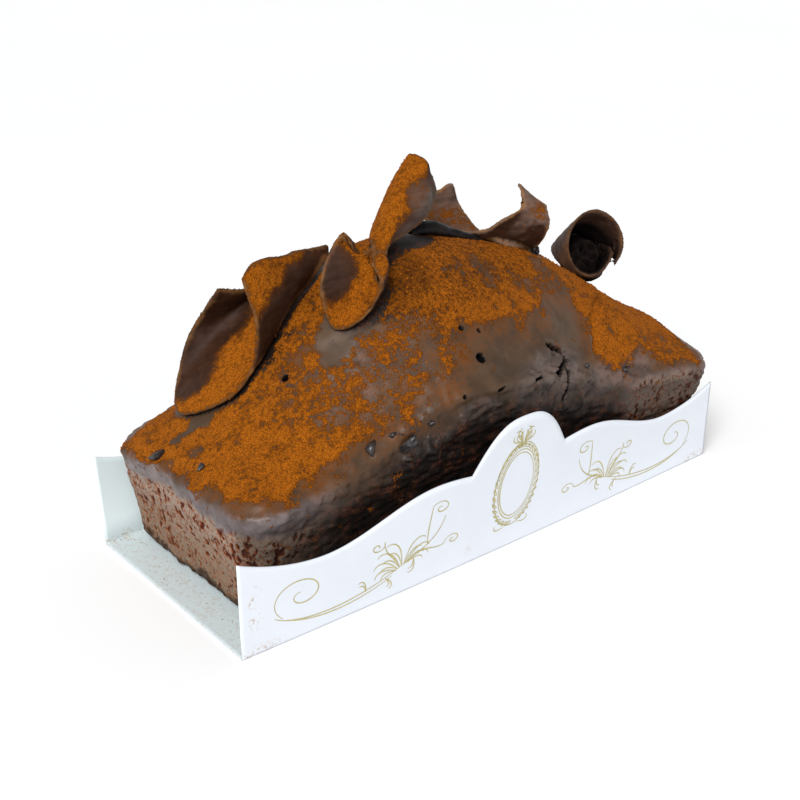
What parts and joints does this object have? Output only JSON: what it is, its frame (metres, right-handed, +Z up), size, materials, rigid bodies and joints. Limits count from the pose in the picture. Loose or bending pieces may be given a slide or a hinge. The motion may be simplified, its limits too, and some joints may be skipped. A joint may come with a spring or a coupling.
{
  "type": "chocolate loaf cake",
  "caption": "Chocolate loaf cake with a high domed crust, dusted with cocoa, topped with rolled chocolate curls, in an open-ended folded card tray with scalloped sides.",
  "frame": {"origin": "middle of the flat underside of the card tray", "axes": "+Z up, +X along the loaf, -Y towards the printed front panel of the tray"},
  "size_m": [0.23, 0.1203, 0.1359],
  "materials": {
    "card": "smooth white folding card",
    "crumb": "matt dark chocolate crust with orange-brown cocoa powder",
    "chocolate": "satin chocolate sheet dusted with cocoa"
  },
  "bodies": {
    "root": {"card_tray": "card", "loaf": "crumb", "curl_left": "chocolate", "curl_middle": "chocolate", "curl_saddle": "chocolate", "curl_tube": "chocolate"}
  },
  "joints": []
}
